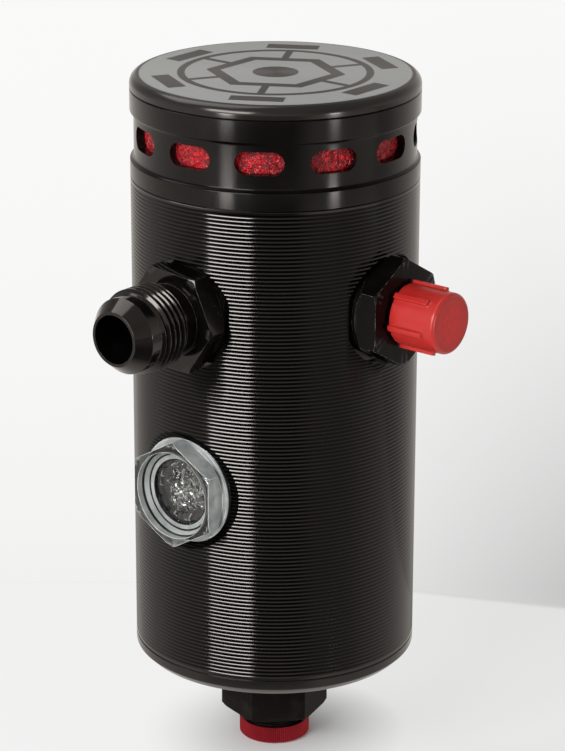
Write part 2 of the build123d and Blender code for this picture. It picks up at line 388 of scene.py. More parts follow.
def wornRough(tree, line, marks, rough, look):
    wear = calc(tree, "MULTIPLY_ADD", line, look["lineShare"], marks)
    return spread(tree, wear, *rough, *look["wearSpan"])


# black anodised aluminium, turned: gloss that spreads along the axis, faint tool lines, hand marks
blackFinish = {
    "colour": (0.0016, 0.0014, 0.0013, 1),
    "worn": (0.0034, 0.003, 0.0027, 1),
    "tint": (1.0, 0.94, 0.89, 1),  # warm cast of the reflections
    "lay": 0.25,  # share of a turn from the lathe's path to the stretched gloss
    "linesPerMm": 3.0,
    "lineBump": (0.1, 0.01),  # strength, and depth in mm
    "marks": (60.0, 4.0, 0.6),  # noise scale, detail and roughness
    "patchSpan": (0.45, 0.75),
    "lineShare": 0.35,
    "roughShares": (0.85, 1.2),
    "wearSpan": (0.4, 1.0),
}


def blackAnodised(name, rough, stretch, reflect):
    look = blackFinish
    sockets = {"Specular IOR Level": reflect, "Specular Tint": look["tint"]}
    sockets |= {"Anisotropic": stretch, "Anisotropic Rotation": look["lay"]}
    material, tree, shader = newFinish(name, sockets)
    place = rowPlace(tree)
    line, radius = toolLines(tree, place, upAxis, origin, look["linesPerMm"])
    marks = noiseOf(tree, place, *look["marks"])
    patch = spread(tree, marks, 0.0, 1.0, *look["patchSpan"])
    feed(tree, shader, {
        "Base Color": colourMix(tree, patch, look["colour"], look["worn"]),
        "Roughness": wornRough(tree, line, marks, [rough * share for share in look["roughShares"]], look),
        "Normal": bumpOf(tree, line, *look["lineBump"]),
    })
    if stretch:
        tangent = addNode(tree, "ShaderNodeTangent", direction_type="RADIAL", axis="Z")
        feed(tree, shader, {"Tangent": tangent.outputs[0]})
    return material, tree, shader, radius


# can: CAD body inside a finely ribbed envelope; each rib rounds in to a groove whose floor is painted in
# shade, black and without glare
canLook = {
    "pitch": 1.035,  # mm between ribs
    "ribShare": 0.325,  # share of the pitch that the rib takes
    "ribTilts": (19, 26, 31),  # degrees, how the rib's upper side rounds in
    "floorShare": 0.52,  # share of the pitch that the groove's floor takes
    "inset": 0.05,  # skin lies this far inside the CAD radius
    "plainTop": 0.75,
    "plainBottom": 1.0,
    "edge": 0.25,  # mm broken off the two ends
    "flare": 0.6,  # mm that the envelope draws in past them
    "segments": 140,
    "smooth": 16,
    "finish": (0.12, 0.0, 0.5),  # roughness, stretch of the gloss, reflection
    "skin": 0.6,  # mm under the ribs that still counts as outside
    # painted shade in the grooves: black floors, a dark reflection tint, and no glare seen aslant
    "groove": (0.0005, 0.0005, 0.0005, 1),
    "grooveShadeTint": (0.24, 0.23, 0.22, 1),
    "grooveShadeAslant": 0.22,  # share of the groove that gives no glare seen aslant
    "flangeShadeTint": (0.01, 0.01, 0.01, 1),
    "flangeShadeMargin": 1.3,  # mm round the sight glass's flange where its seat is painted in shade
}


def ribbedBlack(start, end, pitch, crest):
    look = canLook
    material, tree, shader, radius = blackAnodised("blackAnodisedCan", *look["finish"])
    parts = partsOf(tree, rowPlace(tree))
    height = parts[2]
    turns = calc(tree, "DIVIDE", calc(tree, "SUBTRACT", height, start * mm), pitch * mm)
    # painted shade: the groove floors get a black colour, a dark reflection tint and no glare aslant
    groove = calc(tree, "GREATER_THAN", calc(tree, "FRACT", turns), look["ribShare"])
    outside = calc(tree, "GREATER_THAN", radius, (crest - look["skin"]) * mm)
    paintedShade = product(tree, groove, outside, between(tree, height, start, end))
    # painted shade round the sight glass's flange, on its seat, with no reflection
    low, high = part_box("sight_glass")
    middle = (0, (low.z + high.z) / 2, 0)
    away = vectorCalc(tree, "DISTANCE", paired(tree, parts[0], height), middle)
    flangeShade = calc(tree, "LESS_THAN", away, (high.z - low.z) / 2 + look["flangeShadeMargin"] * mm)
    flangeShade = product(tree, flangeShade, calc(tree, "LESS_THAN", parts[1], 0.0))
    tint = colourMix(tree, paintedShade, blackFinish["tint"], look["grooveShadeTint"])
    paintedShade = calc(tree, "MAXIMUM", paintedShade, flangeShade)
    metal = shader.inputs["Base Color"].links[0].from_socket
    feed(tree, shader, {
        "Specular Tint": colourMix(tree, flangeShade, tint, look["flangeShadeTint"]),
        "Base Color": colourMix(tree, paintedShade, metal, look["groove"]),
        "Metallic": product(tree, paintedShade, look["grooveShadeAslant"]),
    })
    return material


def groovedCan():
    look = canLook
    outer, bottom, top = spanOf("can_body")
    crest, past, edge = outer - look["inset"], meshLook["past"], look["edge"]
    start, end = bottom + look["plainBottom"], top - look["plainTop"]
    ribs = round((end - start) / look["pitch"])
    pitch = (end - start) / ribs
    step = look["ribShare"] / len(look["ribTilts"])
    profile = [(0.0, 0.0)]
    for tilt in look["ribTilts"]:
        share, sink = profile[-1]
        profile.append((share + step, sink + step * pitch * math.tan(math.radians(tilt))))
    share, depth = profile[-1]
    profile.append((share + look["floorShare"], depth))
    drawnIn = crest - edge - look["flare"]
    outline = [(0, bottom - past), (drawnIn, bottom - past), (crest - edge, bottom), (crest, bottom + edge)]
    for k in range(ribs):
        outline += [(crest - sink, start + pitch * (k + share)) for share, sink in profile]
    outline += [(crest, end), (crest, top - edge), (crest - edge, top)]
    outline += [(drawnIn, top + past), (0, top + past)]
    piece = turnedSkin("can_body", "groovedCan", outline, look["segments"])
    return dressed(piece, "can_body", ribbedBlack(start, end, pitch, crest), look["smooth"])


groovedCan()


# breather ring: coved envelope over the slotted solid, and a thread on its spigot
ringLook = {
    "inset": 0.04,
    "lowerFlange": 4.8,
    "upperFlange": 5.9,
    "bandDepth": 1.0,
    "cornerRound": 0.22,
    "cornerSteps": 5,
    "coveTurn": 82,  # degrees that each cove's arc takes
    "coveSteps": 10,
    "topEdge": 0.25,
    "spigot": 30.6,  # mm, clear of the spigot's radius
    "under": 0.4,
    "segments": 256,
    "smooth": 30,
    "finish": (0.22, 0.9, 0.24),
    # coves painted in shade: how far in from their edges, and their darker reflection tint
    "coveEdge": 0.06,
    "coveShadeTint": (0.15, 0.14, 0.13, 1),
    "threadUp": 0.6,  # mm from the spigot's end to the thread
    "thread": {
        "crest": 29.95,
        "depth": 0.6,
        "pitch": 1.5,
        "turns": 2.9,
        "past": 0.2,
        "mouth": 0.85,  # share of the pitch that the groove takes at the crest, and at the root
        "root": 0.15,
    },
}


def ringBlack(outer):
    look = ringLook
    material, tree, shader, radius = blackAnodised("blackAnodisedRing", *look["finish"])
    deepest = outer - look["bandDepth"]
    # painted shade in the coves under the flanges: a darker reflection tint
    cove = between(tree, radius, deepest + look["coveEdge"], outer - look["coveEdge"])
    feed(tree, shader, {"Specular Tint": colourMix(tree, cove, blackFinish["tint"], look["coveShadeTint"])})
    return material


def slottedRing():
    look = ringLook
    outer, bottom, top = spanOf("breather_ring")
    outer -= look["inset"]
    canTop = spanOf("can_body")[2]
    below, lip = bottom - meshLook["past"], canTop - look["under"]
    ceiling = top - look["inset"] / 2
    bandLow, bandHigh = canTop + look["lowerFlange"], top - look["upperFlange"]
    deep, soft, edge = look["bandDepth"], look["cornerRound"], look["topEdge"]
    corner, cove, turn = look["cornerSteps"], look["coveSteps"], look["coveTurn"]
    outline = [(0, below), (look["spigot"], below), (look["spigot"], lip), (outer, lip)]
    outline += arcPoints((outer - soft, bandLow - soft), soft, 0, 90, corner)
    outline += arcPoints((outer, bandLow + deep), deep, 180 + turn, 180, cove)
    outline += arcPoints((outer, bandHigh - deep), deep, 180, 180 - turn, cove)
    outline += arcPoints((outer - soft, bandHigh + soft), soft, 270, 360, corner)
    outline += [(outer, top - edge), (outer - edge, ceiling), (0, ceiling)]
    piece = turnedSkin("breather_ring", "slottedRing", outline, look["segments"])
    threadCut(piece, look["thread"], bottom + look["threadUp"], Matrix())
    return dressed(piece, "breather_ring", ringBlack(outer), look["smooth"])


slottedRing()


# lid: bullnosed disc with a plain geometric print on top; the print's sizes are in mm
lidLook = {
    "inset": 0.03,
    "edgeRadius": 2.5,
    "edgeSteps": 16,
    "chamfer": (0.4, 0.22),  # inward, and up from the ring
    "under": 0.2,
    "spigot": 36.0,
    "segments": 256,
    "smooth": 30,
    "finish": (0.2, 0.45, 0.34),
    "printRadius": 35.5,
    "printGrey": (0.27, 0.275, 0.268, 1),
    "printShade": (0.19, 0.194, 0.188, 1),
    "groundDark": (0.008, 0.0072, 0.0066, 1),
    "printSoft": 0.08,
    "anyLow": -1.0,  # under every length
    "hexagon": (12.6, 15.9),
    "hub": 6.0,
    "ring": (23.6, 25.6),
    "spoke": (1.0, 15.0, 25.0),  # half width, and from which to which radius
    "window": (7.0, 27.0, 31.8),
    "topLayer": (0.2, 1.0),  # below and above the top face
    "speckle": (900.0, 2.0),
    "speckleShare": 0.35,
    "rough": (0.2, 0.2, 0.1),  # at the side, and what the top and the print add
}


def lidPrint():
    look = lidLook
    material, tree, shader = blackAnodised("printedLid", *look["finish"])[:3]
    place = rowPlace(tree)
    parts = partsOf(tree, place)
    radius = vectorCalc(tree, "LENGTH", paired(tree, parts[0], parts[1]))
    folded = calc(tree, "PINGPONG", calc(tree, "ARCTAN2", parts[1], parts[0]), math.pi / 6)
    along = product(tree, radius, calc(tree, "COSINE", folded))
    aside = product(tree, radius, calc(tree, "SINE", folded))

    def within(value, low, high):
        soft = look["printSoft"] * mm
        rise = spread(tree, value, 0.0, 1.0, low * mm - soft, low * mm + soft)
        fall = spread(tree, value, 1.0, 0.0, high * mm - soft, high * mm + soft)
        return product(tree, rise, fall)

    def under(value, high):
        return within(value, look["anyLow"], high)

    # six-fold marks: a hexagon, a hub, a ring, spokes between them and windows outside
    (width, near, far), (wide, low, high) = look["spoke"], look["window"]
    dark = within(along, *look["hexagon"])
    spoke = product(tree, within(aside, -width, width), within(radius, near, far))
    window = product(tree, under(aside, wide), within(along, low, high))
    for mark in (under(radius, look["hub"]), within(radius, *look["ring"]), spoke, window):
        dark = calc(tree, "MAXIMUM", dark, mark)
    top = cadHigh.z / mm
    onTop = within(parts[2], top - look["topLayer"][0], top + look["topLayer"][1])
    grey = product(tree, calc(tree, "SUBTRACT", 1.0, dark), under(radius, look["printRadius"]), onTop)
    speckle = spread(tree, noiseOf(tree, place, *look["speckle"]), 0.0, look["speckleShare"])
    tone = colourMix(tree, speckle, look["printGrey"], look["printShade"])
    sideRough, topRough, greyRough = look["rough"]
    rough = calc(tree, "MULTIPLY_ADD", onTop, topRough, sideRough)
    feed(tree, shader, {
        "Base Color": colourMix(tree, grey, look["groundDark"], tone),
        "Roughness": calc(tree, "MULTIPLY_ADD", grey, greyRough, rough),
    })
    return material


def bullnoseLid():
    look = lidLook
    outer, bottom, top = spanOf("breather_lid")
    outer -= look["inset"]
    top -= look["inset"] / 2
    ringTop = spanOf("breather_ring")[2]
    below, lip = bottom - meshLook["past"], ringTop - look["under"]
    inward, upward = look["chamfer"]
    bend = look["edgeRadius"]
    outline = [(0, below), (look["spigot"], below), (look["spigot"], lip)]
    outline += [(outer - inward, lip), (outer, ringTop + upward)]
    outline += arcPoints((outer - bend, top - bend), bend, 0, 90, look["edgeSteps"])
    outline += [(0, top)]
    piece = turnedSkin("breather_lid", "bullnoseLid", outline, look["segments"])
    return dressed(piece, "breather_lid", lidPrint(), look["smooth"])


bullnoseLid()


# base: round-edged envelope over the base cap
baseLook = {
    "inset": 0.04,
    "edgeRadius": 2.0,
    "cornerRound": 0.6,
    "cornerSteps": 4,
    "seam": (0.25, 0.4, 0.15),  # mm below the seam, inward, and above it
    "spigot": 31.0,
    "segments": 256,
    "smooth": 30,
    "finish": (0.2, 0.6, 0.4),
}


def roundedBase():
    look = baseLook
    outer, bottom, top = spanOf("base_cap")
    outer -= look["inset"]
    bottom += look["inset"] / 2
    seam = spanOf("can_body")[1]
    under, inward, over = look["seam"]
    bend, soft, steps = look["edgeRadius"], look["cornerRound"], look["cornerSteps"]
    ease = soft * math.tan(math.radians(45 / 2))
    ceiling = top + meshLook["past"]
    outline = [(0, bottom)] + arcPoints((outer - bend - ease, bottom + soft), soft, 270, 315, steps)
    outline += arcPoints((outer - soft, bottom + bend + ease), soft, 315, 360, steps)
    outline += [(outer, seam - under), (outer - inward, seam + over), (look["spigot"], seam + over)]
    outline += [(look["spigot"], ceiling), (0, ceiling)]
    piece = turnedSkin("base_cap", "roundedBase", outline, look["segments"])
    black = blackAnodised("blackAnodisedBase", *look["finish"])[0]
    return dressed(piece, "base_cap", black, look["smooth"])


roundedBase()


# fittings: turned from hexagon bar, brighter black, edges just broken and painted paler, as wear and as a
# painted highlight
fittingFinish = {
    "edge": 0.16,  # mm
    "colour": (0.002, 0.0017, 0.0015),
    "worn": (0.005, 0.0043, 0.0037),
    "tint": (1.0, 0.92, 0.85, 1),
    "bare": (1.0, 0.97, 0.94),  # metal that shows where an edge has rubbed, and a painted highlight along the edges
    "rubbing": 900.0,
    "rubSpan": (0.4, 0.6),
    "linesPerMm": 2.2,
    "lineBump": (0.05, 0.008),
    "marks": (140.0, 4.0, 0.6),
    "patchSpan": (0.5, 0.8),
    "lineShare": 0.4,
    "wearSpan": (0.4, 1.1),
    "smooth": 30,
}
flareGroove = {"past": 0.3, "mouth": 0.97, "root": 0.14}
# large flare fitting, along -Y
largeLook = {
    "thread": {"crest": 11.11, "depth": 1.05, "pitch": 1.814, "turns": 5.6, "start": 46.55},
    "finish": {"reflect": 0.38, "rough": (0.08, 0.16), "edgeWearAndHighlight": 0.06, "ior": 1.5, "paleness": 1.0},
}
# small flare fitting, along +X
smallLook = {
    "thread": {"crest": 7.14, "depth": 0.82, "pitch": 1.411, "turns": 4.4, "start": 45.05},
    "finish": {"reflect": 0.1, "rough": (0.2, 0.3), "edgeWearAndHighlight": 0.22, "ior": 1.5, "paleness": 1.0},
}
# drain adapter under the base
drainLook = {
    "finish": {"reflect": 0.5, "rough": (0.2, 0.3), "edgeWearAndHighlight": 0.05, "ior": 1.07, "paleness": 3.5},
}


def fittingBlack(name, axis, centre, finish):
    look = fittingFinish
    sockets = {"IOR": finish["ior"], "Specular IOR Level": finish["reflect"], "Specular Tint": look["tint"]}
    material, tree, shader = newFinish(name, sockets)
    place = rowPlace(tree)
    line = toolLines(tree, place, axis, centre, look["linesPerMm"])[0]
    marks = noiseOf(tree, place, *look["marks"])
    patch = spread(tree, marks, 0.0, 1.0, *look["patchSpan"])
    shares = {"colour": finish["paleness"], "worn": finish["paleness"], "bare": finish["edgeWearAndHighlight"]}
    tones = {key: tuple(part * share for part in look[key]) + (1,) for key, share in shares.items()}
    metal = colourMix(tree, patch, tones["colour"], tones["worn"])
    rounded = roundedNormal(tree, look["edge"])
    # edges painted paler in patches: rubbed metal, and a painted highlight
    rubbing = spread(tree, noiseOf(tree, place, look["rubbing"]), 0.0, 1.0, *look["rubSpan"])
    rubbedAndHighlitEdge = product(tree, edgeShare(tree, rounded), rubbing)
    feed(tree, shader, {
        "Base Color": colourMix(tree, rubbedAndHighlitEdge, metal, tones["bare"]),
        "Roughness": wornRough(tree, line, marks, finish["rough"], look),
        "Normal": bumpOf(tree, line, *look["lineBump"], rounded),
    })
    return material


def portThread(piece, node, thread, axis):
    # thread of a port fitting, whose axis is level and passes through the can's
    place = Matrix.Translation((0, 0, centreOf(node).z)) @ turned(90, axis)
    return threadCut(piece, thread | flareGroove, thread["start"], place)


def largeFitting():
    node = "large_port_fitting"
    piece = portThread(cadCopy(node, "largeFlareFitting"), node, largeLook["thread"], "X")
    black = fittingBlack("blackFittingLarge", (0, 1, 0), (0, 0, centreOf(node).z), largeLook["finish"])
    return dressed(piece, node, black, fittingFinish["smooth"])


def smallFitting():
    node = "small_port_fitting"
    piece = portThread(cadCopy(node, "smallFlareFitting"), node, smallLook["thread"], "Y")
    black = fittingBlack("blackFittingSmall", (1, 0, 0), (0, 0, centreOf(node).z), smallLook["finish"])
    return dressed(piece, node, black, fittingFinish["smooth"])


def drainAdapter():
    black = fittingBlack("blackFittingDrain", upAxis, origin, drainLook["finish"])
    return dressed(cadCopy("drain_adapter", "drainHexagon"), "drain_adapter", black, fittingFinish["smooth"])


largeFitting()
smallFitting()
drainAdapter()


# drain cap: fine straight knurl, red anodised
drainCapLook = {
    "teeth": 108,
    "perTooth": 4,  # points along a tooth
    "depth": 0.22,
    "inset": 0.03,
    "smooth": 50,
    "sockets": {"Metallic": 0.75},
    "tones": ((0.16, 0.004, 0.009, 1), (0.25, 0.007, 0.014, 1)),
    "linesPerMm": 2.5,
    "lineBump": (0.1, 0.01),
    "marks": (240.0, 4.0, 0.6),
    "lineShare": 0.4,
    "wearSpan": (0.4, 1.1),
    "rough": (0.32, 0.5),
}


def redAnodised():
    look = drainCapLook
    material, tree, shader = newFinish("redAnodised", look["sockets"])
    place = rowPlace(tree)
    line = toolLines(tree, place, upAxis, origin, look["linesPerMm"])[0]
    marks = noiseOf(tree, place, *look["marks"])
    feed(tree, shader, {
        "Base Color": colourMix(tree, marks, *look["tones"]),
        "Roughness": wornRough(tree, line, marks, look["rough"], look),
        "Normal": bumpOf(tree, line, *look["lineBump"]),
    })
    return material


def knurledCap():
    look = drainCapLook
    outer, bottom, top = spanOf("drain_cap")
    crest = outer - look["inset"]
    count = look["teeth"] * look["perTooth"]
    points, faces = [], []
    for height in (bottom - meshLook["past"], top + meshLook["past"]):
        for k in range(count):
            wave = (1 - math.cos(fullTurn * k / look["perTooth"])) / 2
            points.append(polar(crest - look["depth"] * wave, fullTurn * k / count, height))
    for k in range(count):
        after = (k + 1) % count
        faces.append((k, after, count + after, count + k))
    faces += [tuple(range(count)), tuple(range(count, 2 * count))]
    piece = combined(cadCopy("drain_cap", "knurledDrainCap"), newPiece("knurl", points, faces), "INTERSECT")
    return dressed(piece, "drain_cap", redAnodised(), look["smooth"])


knurledCap()


# dust cap: soft-edged red moulding
dustCapLook = {
    "voxel": 0.17,
    "softening": 5,
    "softFactor": 0.5,
    "smooth": 180,
    "sockets": {
        "Specular IOR Level": 0.4,
        "Subsurface Weight": 0.3,
        "Subsurface Radius": (1.0, 0.12, 0.1),
        "Subsurface Scale": 1.2 * mm,
    },
    "side": ((0.35, 0.0135, 0.0105, 1), (0.41, 0.02, 0.0165, 1)),
    "end": ((0.42, 0.0125, 0.0105, 1), (0.55, 0.019, 0.016, 1)),  # scuffed end face
    "endDepth": 0.35,
    "endRadii": (4.4, 7.0),  # mm, the scuffed part fades out towards the rim
    "cloud": (260.0, 3.0),
    "scuff": (700.0, 4.0, 0.65),
    "scuffSpan": (0.35, 0.65),
    "grain": (1500.0, 2.0),
    "rough": (0.27, 0.34),
    "endRough": 0.15,
    "scuffShare": 0.7,
    "cloudBump": (0.16, 0.16),
    "grainBump": (0.05, 0.03),
}


def redPlastic():
    look = dustCapLook
    material, tree, shader = newFinish("redMouldedPlastic", look["sockets"])
    place = rowPlace(tree)
    cloud, scuff, grain = [noiseOf(tree, place, *look[key]) for key in ("cloud", "scuff", "grain")]
    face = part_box("small_port_dust_cap")[1].x
    offset = vectorCalc(tree, "SUBTRACT", place, (face, 0, centreOf("small_port_dust_cap").z))
    deep = -look["endDepth"] * mm
    atEnd = spread(tree, partsOf(tree, offset)[0], 0.0, 1.0, deep, deep / 2)
    limits = [limit * mm for limit in look["endRadii"]]
    atEnd = product(tree, atEnd, spread(tree, vectorCalc(tree, "LENGTH", offset), 1.0, 0.0, *limits))
    side = colourMix(tree, cloud, *look["side"])
    end = colourMix(tree, spread(tree, scuff, 0.0, 1.0, *look["scuffSpan"]), *look["end"])
    worn = calc(tree, "MULTIPLY_ADD", product(tree, scuff, atEnd), look["scuffShare"], cloud)
    rough = spread(tree, grain, *look["rough"])
    feed(tree, shader, {
        "Base Color": colourMix(tree, atEnd, side, end),
        "Roughness": calc(tree, "MULTIPLY_ADD", atEnd, look["endRough"], rough),
        "Normal": bumpOf(tree, grain, *look["grainBump"], bumpOf(tree, worn, *look["cloudBump"])),
    })
    return material


def dustCap():
    look = dustCapLook
    piece = cadCopy("small_port_dust_cap", "ribbedDustCap")
    step = piece.modifiers.new("remould", "REMESH")
    step.mode = "VOXEL"
    step.voxel_size = look["voxel"] * mm
    ease = piece.modifiers.new("soften", "SMOOTH")
    ease.factor = look["softFactor"]
    ease.iterations = look["softening"]
    return dressed(applied(piece), "small_port_dust_cap", redPlastic(), look["smooth"])


dustCap()


# sight glass: clear moulded plug with its own thread; lengths in mm, heights from the can's axis
glassLook = {
    "thread": {"crest": 11.11, "depth": 0.9, "pitch": 1.814, "turns": 2.7, "start": 27.2},
    "smooth": 30,
    "sockets": {"IOR": 1.45, "Specular IOR Level": 0.3},
    "windowRadius": 8.75,
    "recess": (11.95, 42.3),  # radius and height of the hollow in the head
    "flange": (12.2, 38.9),
    "ledge": (9.05, 10.15, 39.6),
    "shank": 36.5,  # further in it lies in the dark
    # rings painted in shade at the recess's corners: from which to which radius, and from which to which
    # height
    "corners": ((11.2, 11.8, 40.4, 41.0), (10.15, 10.6, 38.7, 39.5), (8.75, 9.05, 38.5, 39.4)),
    "edgeRound": 0.22,
    "frontSpan": (0.65, 0.9),  # how squarely a face looks out, at the sides and at the front
    "clear": (0.93, 0.95, 0.94, 1),
    "front": (0.72, 0.75, 0.74, 1),
    "side": ((0.33, 0.35, 0.34, 1), (0.53, 0.55, 0.54, 1)),
    # painted highlight along the edges
    "edge": (0.95, 0.97, 0.96, 1),
    # painted shade, on the shank and in the corner rings
    "corner": (0.01, 0.011, 0.011, 1),
    "cloud": 260.0,
    "cloudSpan": (0.35, 0.65),
    "haze": (120.0, 2.0),
    "hazeBump": (0.05, 0.05),
    "through": (0.4, 0.08),  # share of light that the sides let through, and edges and corners
    "hazyRough": (0.1, 0.2),
    "clearRough": 0.015,
    "drift": (300.0, 0.0),
    "driftReach": 3.2,
    "dropGap": 2.7,
    "dropShare": 0.42,  # of the gap between drops
    "dropsLeftOut": 0.2,
    "dropBump": (1.0, 1.0),
}


def clearPlastic():
    # clear through its window and front, hazier on its sides, with painted highlights along its edges and
    # painted shade on its shank and in its recess corners
    look = glassLook
    material, tree, shader = newFinish("clearPlastic", look["sockets"])
    place = rowPlace(tree)
    offset = vectorCalc(tree, "SUBTRACT", place, (0, 0, centreOf("sight_glass").z))
    parts = partsOf(tree, offset)
    radius = vectorCalc(tree, "LENGTH", paired(tree, parts[0], parts[2]))
    out = product(tree, parts[1], -1.0)

    def over(value, limit):
        return calc(tree, "GREATER_THAN", value, limit * mm)

    def under(value, limit):
        return calc(tree, "LESS_THAN", value, limit * mm)

    def either(first, second):
        return calc(tree, "MAXIMUM", first, second)

    def rest(share):
        return calc(tree, "SUBTRACT", 1.0, share)

    frontal = calc(tree, "ABSOLUTE", partsOf(tree, facetNormal(tree))[1])
    rim, low = look["flange"]
    inner, outer, step = look["ledge"]
    wall, mouth = look["recess"]
    flange = product(tree, over(radius, rim), under(out, low))
    ledge = product(tree, between(tree, radius, inner, outer), under(out, step))
    side = either(either(spread(tree, frontal, 1.0, 0.0, *look["frontSpan"]), flange), ledge)
    recess = product(tree, under(radius, wall), under(out, mouth))
    head = over(radius, look["windowRadius"])
    rounded = roundedNormal(tree, look["edgeRound"])
    # painted highlight along the head's edges, outside the recess
    edge = product(tree, edgeShare(tree, rounded), head, rest(recess))
    # painted shade on the shank and in the recess's corner rings
    dark = under(out, look["shank"])
    for near, far, deep, shallow in look["corners"]:
        ring = between(tree, radius, near, far)
        dark = either(dark, product(tree, ring, between(tree, out, deep, shallow)))
    haze = noiseOf(tree, place, *look["haze"])
    cloud = spread(tree, noiseOf(tree, place, look["cloud"]), 0.0, 1.0, *look["cloudSpan"])
    tone = colourMix(tree, side, look["front"], colourMix(tree, cloud, *look["side"]))
    tone = colourMix(tree, edge, tone, look["edge"])
    tone = colourMix(tree, head, look["clear"], tone)
    hazed = product(tree, side, head)
    sideThrough, solidThrough = look["through"]
    solid = spread(tree, either(edge, dark), 1.0, solidThrough)
    hazy = product(tree, hazed, spread(tree, haze, *look["hazyRough"]))
    # oil drops on the window: scattered domes, drawn out of round
    scale, detail = look["drift"]
    drift = {"Vector": place, "Scale": scale, "Detail": detail}
    shift = scaled(tree, addNode(tree, "ShaderNodeTexNoise", drift).outputs["Color"], look["driftReach"] * mm)
    scatter = {"Vector": vectorCalc(tree, "ADD", place, shift), "Scale": 1 / (look["dropGap"] * mm)}
    drop = addNode(tree, "ShaderNodeTexVoronoi", scatter).outputs
    dome = calc(tree, "SQRT", spread(tree, drop["Distance"], 1.0, 0.0, 0.0, look["dropShare"]))
    chosen = calc(tree, "GREATER_THAN", partsOf(tree, drop["Color"])[0], look["dropsLeftOut"])
    wet = product(tree, dome, chosen, rest(head))
    feed(tree, shader, {
        "Base Color": colourMix(tree, dark, tone, look["corner"]),
        "Transmission Weight": product(tree, spread(tree, hazed, 1.0, sideThrough), solid),
        "Roughness": calc(tree, "ADD", hazy, look["clearRough"]),
        "Normal": bumpOf(tree, wet, *look["dropBump"], bumpOf(tree, haze, *look["hazeBump"], rounded)),
    })
    return material


def sightGlass():
    look = glassLook
    piece = portThread(cadCopy("sight_glass", "clearSightGlass"), "sight_glass", look["thread"], "X")
    return dressed(piece, "sight_glass", clearPlastic(), look["smooth"])


sightGlass()


# foam ring: every face pitted with open cells
foamLook = {
    "inner": 22.0,  # mm, radius of its hole
    "cell": 0.85,
    "depth": 0.55,
    "pitReach": 0.62,  # cells from a pit's middle to its brim
    "pitCurve": 0.8,
    "strutRise": (0.25, 0.6),  # how far the struts between pits count, and up to which gap
    "segments": 728,
    "steps": (46, 26, 14, 4),  # outside, top, inside, bottom
    "smooth": 180,
    "fill": 0.9,
    "scatter": ((127.1, 269.5, 113.5), (311.7, 183.3, 271.9), (74.7, 246.1, 124.6)),
    "scatterScale": 43758.5453,
    "farOff": 9.0,
    "sockets": {"Specular IOR Level": 0.4},
    "tones": ((0.035, 0.0007, 0.0016, 1), (0.7, 0.0115, 0.022, 1)),
    "strutCell": 0.75,
    "strutSpan": (0.02, 0.22),
    "grainCell": 0.85,
    "fleck": (2600.0, 2.0),
    "darkest": (0.25, 0.14),  # light left between struts, and in the darkest grain
    "rough": (0.35, 0.02),
    "fleckRough": 0.3,
    "fleckBump": 0.6,
    "bump": (0.9, 0.16),
}


def cellNoise(points, size):
    # distance to the nearest and to the second nearest scattered point, in cells
    look = foamLook
    grid = points / size
    base = np.floor(grid)
    first = np.full(len(points), look["farOff"])
    second = first.copy()
    for offset in itertools.product((-1, 0, 1), repeat=3):
        corner = base + np.array(offset)
        spot = corner + np.abs(np.sin(corner @ np.array(look["scatter"])) * look["scatterScale"]) % 1.0
        gap = np.linalg.norm(grid - spot, axis=1)
        second = np.minimum(second, np.maximum(first, gap))
        first = np.minimum(first, gap)
    return first, second


def redFoam():
    look = foamLook
    material, tree, shader = newFinish("redFoam", look["sockets"])
    place = rowPlace(tree)
    cells, grains = [{"Vector": place, "Scale": 1 / (look[key] * mm)} for key in ("strutCell", "grainCell")]
    toEdge = addNode(tree, "ShaderNodeTexVoronoi", cells, feature="DISTANCE_TO_EDGE").outputs["Distance"]
    grain = partsOf(tree, addNode(tree, "ShaderNodeTexVoronoi", grains).outputs["Color"])[0]
    fleck = noiseOf(tree, place, *look["fleck"])
    strut = spread(tree, toEdge, 1.0, 0.0, *look["strutSpan"])
    hollow, darkGrain = look["darkest"]
    # painted shade in the cell hollows between the struts, times a random tone for each grain
    lit = product(tree, spread(tree, strut, hollow, 1.0), spread(tree, grain, darkGrain, 1.0))
    rough = spread(tree, grain, *look["rough"])
    height = calc(tree, "MULTIPLY_ADD", fleck, look["fleckBump"], strut)
    feed(tree, shader, {
        "Base Color": colourMix(tree, lit, *look["tones"]),
        "Roughness": calc(tree, "MULTIPLY_ADD", fleck, look["fleckRough"], rough),
        "Normal": bumpOf(tree, height, *look["bump"]),
    })
    return material


def foamRing():
    look = foamLook
    outer, bottom, top = spanOf("foam_filter")
    inner = look["inner"]
    corners = [(outer, bottom), (outer, top), (inner, top), (inner, bottom)]
    outline, facing = [], []
    for k, steps in enumerate(look["steps"]):
        (x, z), (nextX, nextZ) = corners[k], corners[(k + 1) % len(corners)]
        for share in [step / steps for step in range(steps)]:
            outline.append((x + (nextX - x) * share, z + (nextZ - z) * share))
            facing.append(((1, 0), (0, 1), (-1, 0), (0, -1))[k])
    piece = turnedPiece("redFoamRing", outline, look["segments"])
    places = np.zeros(len(piece.data.vertices) * 3)
    piece.data.vertices.foreach_get("co", places)
    places = places.reshape(-1, 3)
    first, second = cellNoise(places, look["cell"] * mm)
    strutShare, widest = look["strutRise"]
    pit = np.clip(1 - first / look["pitReach"], 0, 1) ** look["pitCurve"]
    pit += strutShare * np.clip(second - first, 0, widest)
    push = np.repeat(np.array(facing, float), look["segments"], axis=0)
    angle = np.arctan2(places[:, 1], places[:, 0])
    normal = np.stack([np.cos(angle) * push[:, 0], np.sin(angle) * push[:, 0], push[:, 1]], axis=1)
    moved = places - normal * (pit * look["depth"] * mm)[:, None]
    piece.data.vertices.foreach_set("co", moved.ravel())
    piece.data.update()
    dressed(piece, "foam_filter", redFoam(), look["smooth"])
    return piece


foamRing()


